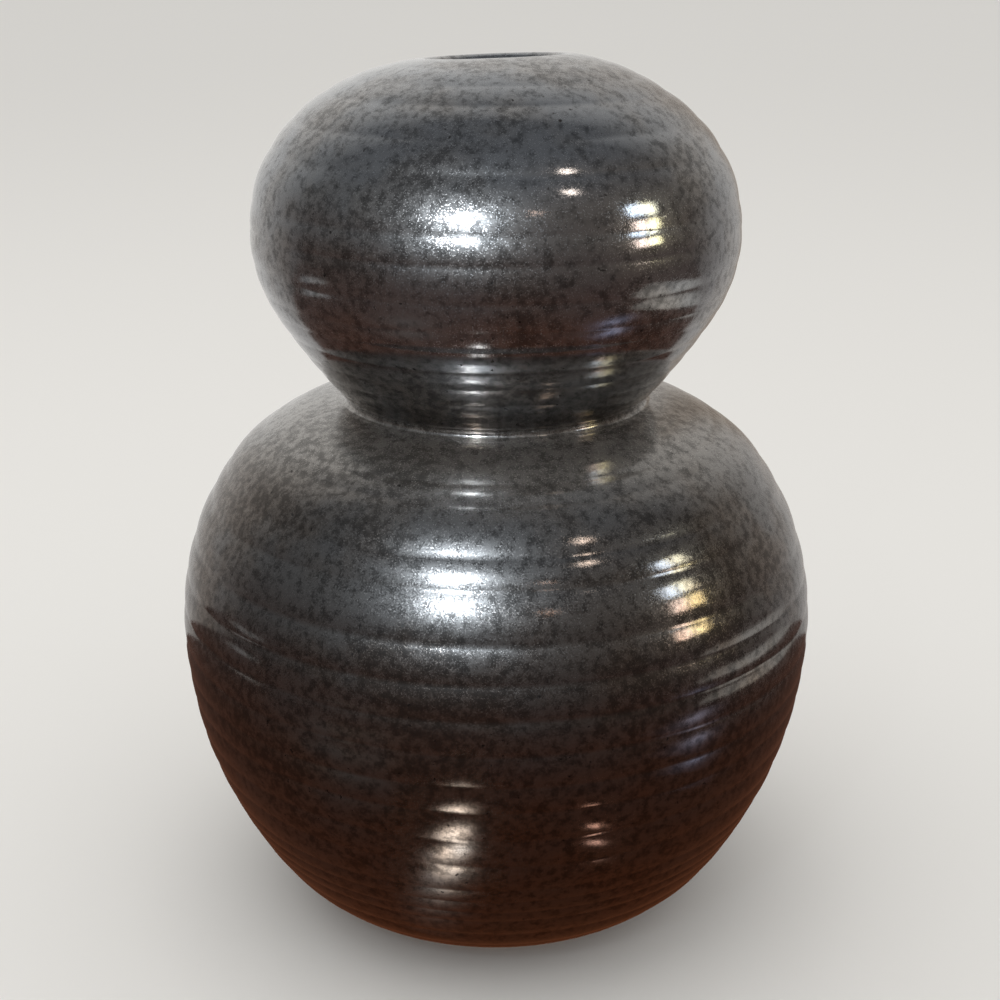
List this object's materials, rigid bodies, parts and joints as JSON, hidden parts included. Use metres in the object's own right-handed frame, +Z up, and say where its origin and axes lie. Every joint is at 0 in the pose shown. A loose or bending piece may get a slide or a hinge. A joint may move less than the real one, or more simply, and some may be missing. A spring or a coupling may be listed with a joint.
{
  "type": "double gourd vase",
  "caption": "Wheel-thrown stoneware vase of a small bulb set on a large one, closed in to a small mouth, glazed inside and out over throwing rings",
  "frame": {"origin": "centre of the foot ring, on the plane that the vase stands on", "axes": "+Z up along the axis that the vase was thrown about; +X and +Y are equivalent, with the picture taken looking along +Y"},
  "size_m": [0.2244, 0.2244, 0.3],
  "materials": {
    "stoneware": "bare fired stoneware, brown and slightly gritty",
    "gunmetal_glaze": "semi-gloss metallic gunmetal glaze over dark brown, finely speckled",
    "liner_glaze": "glossy near-black liner glaze"
  },
  "bodies": {
    "root": {"lower_bulb": "stoneware", "upper_bulb": "stoneware", "waist_coil": "stoneware", "outer_glaze": "gunmetal_glaze", "liner_glaze": "liner_glaze"}
  },
  "joints": []
}
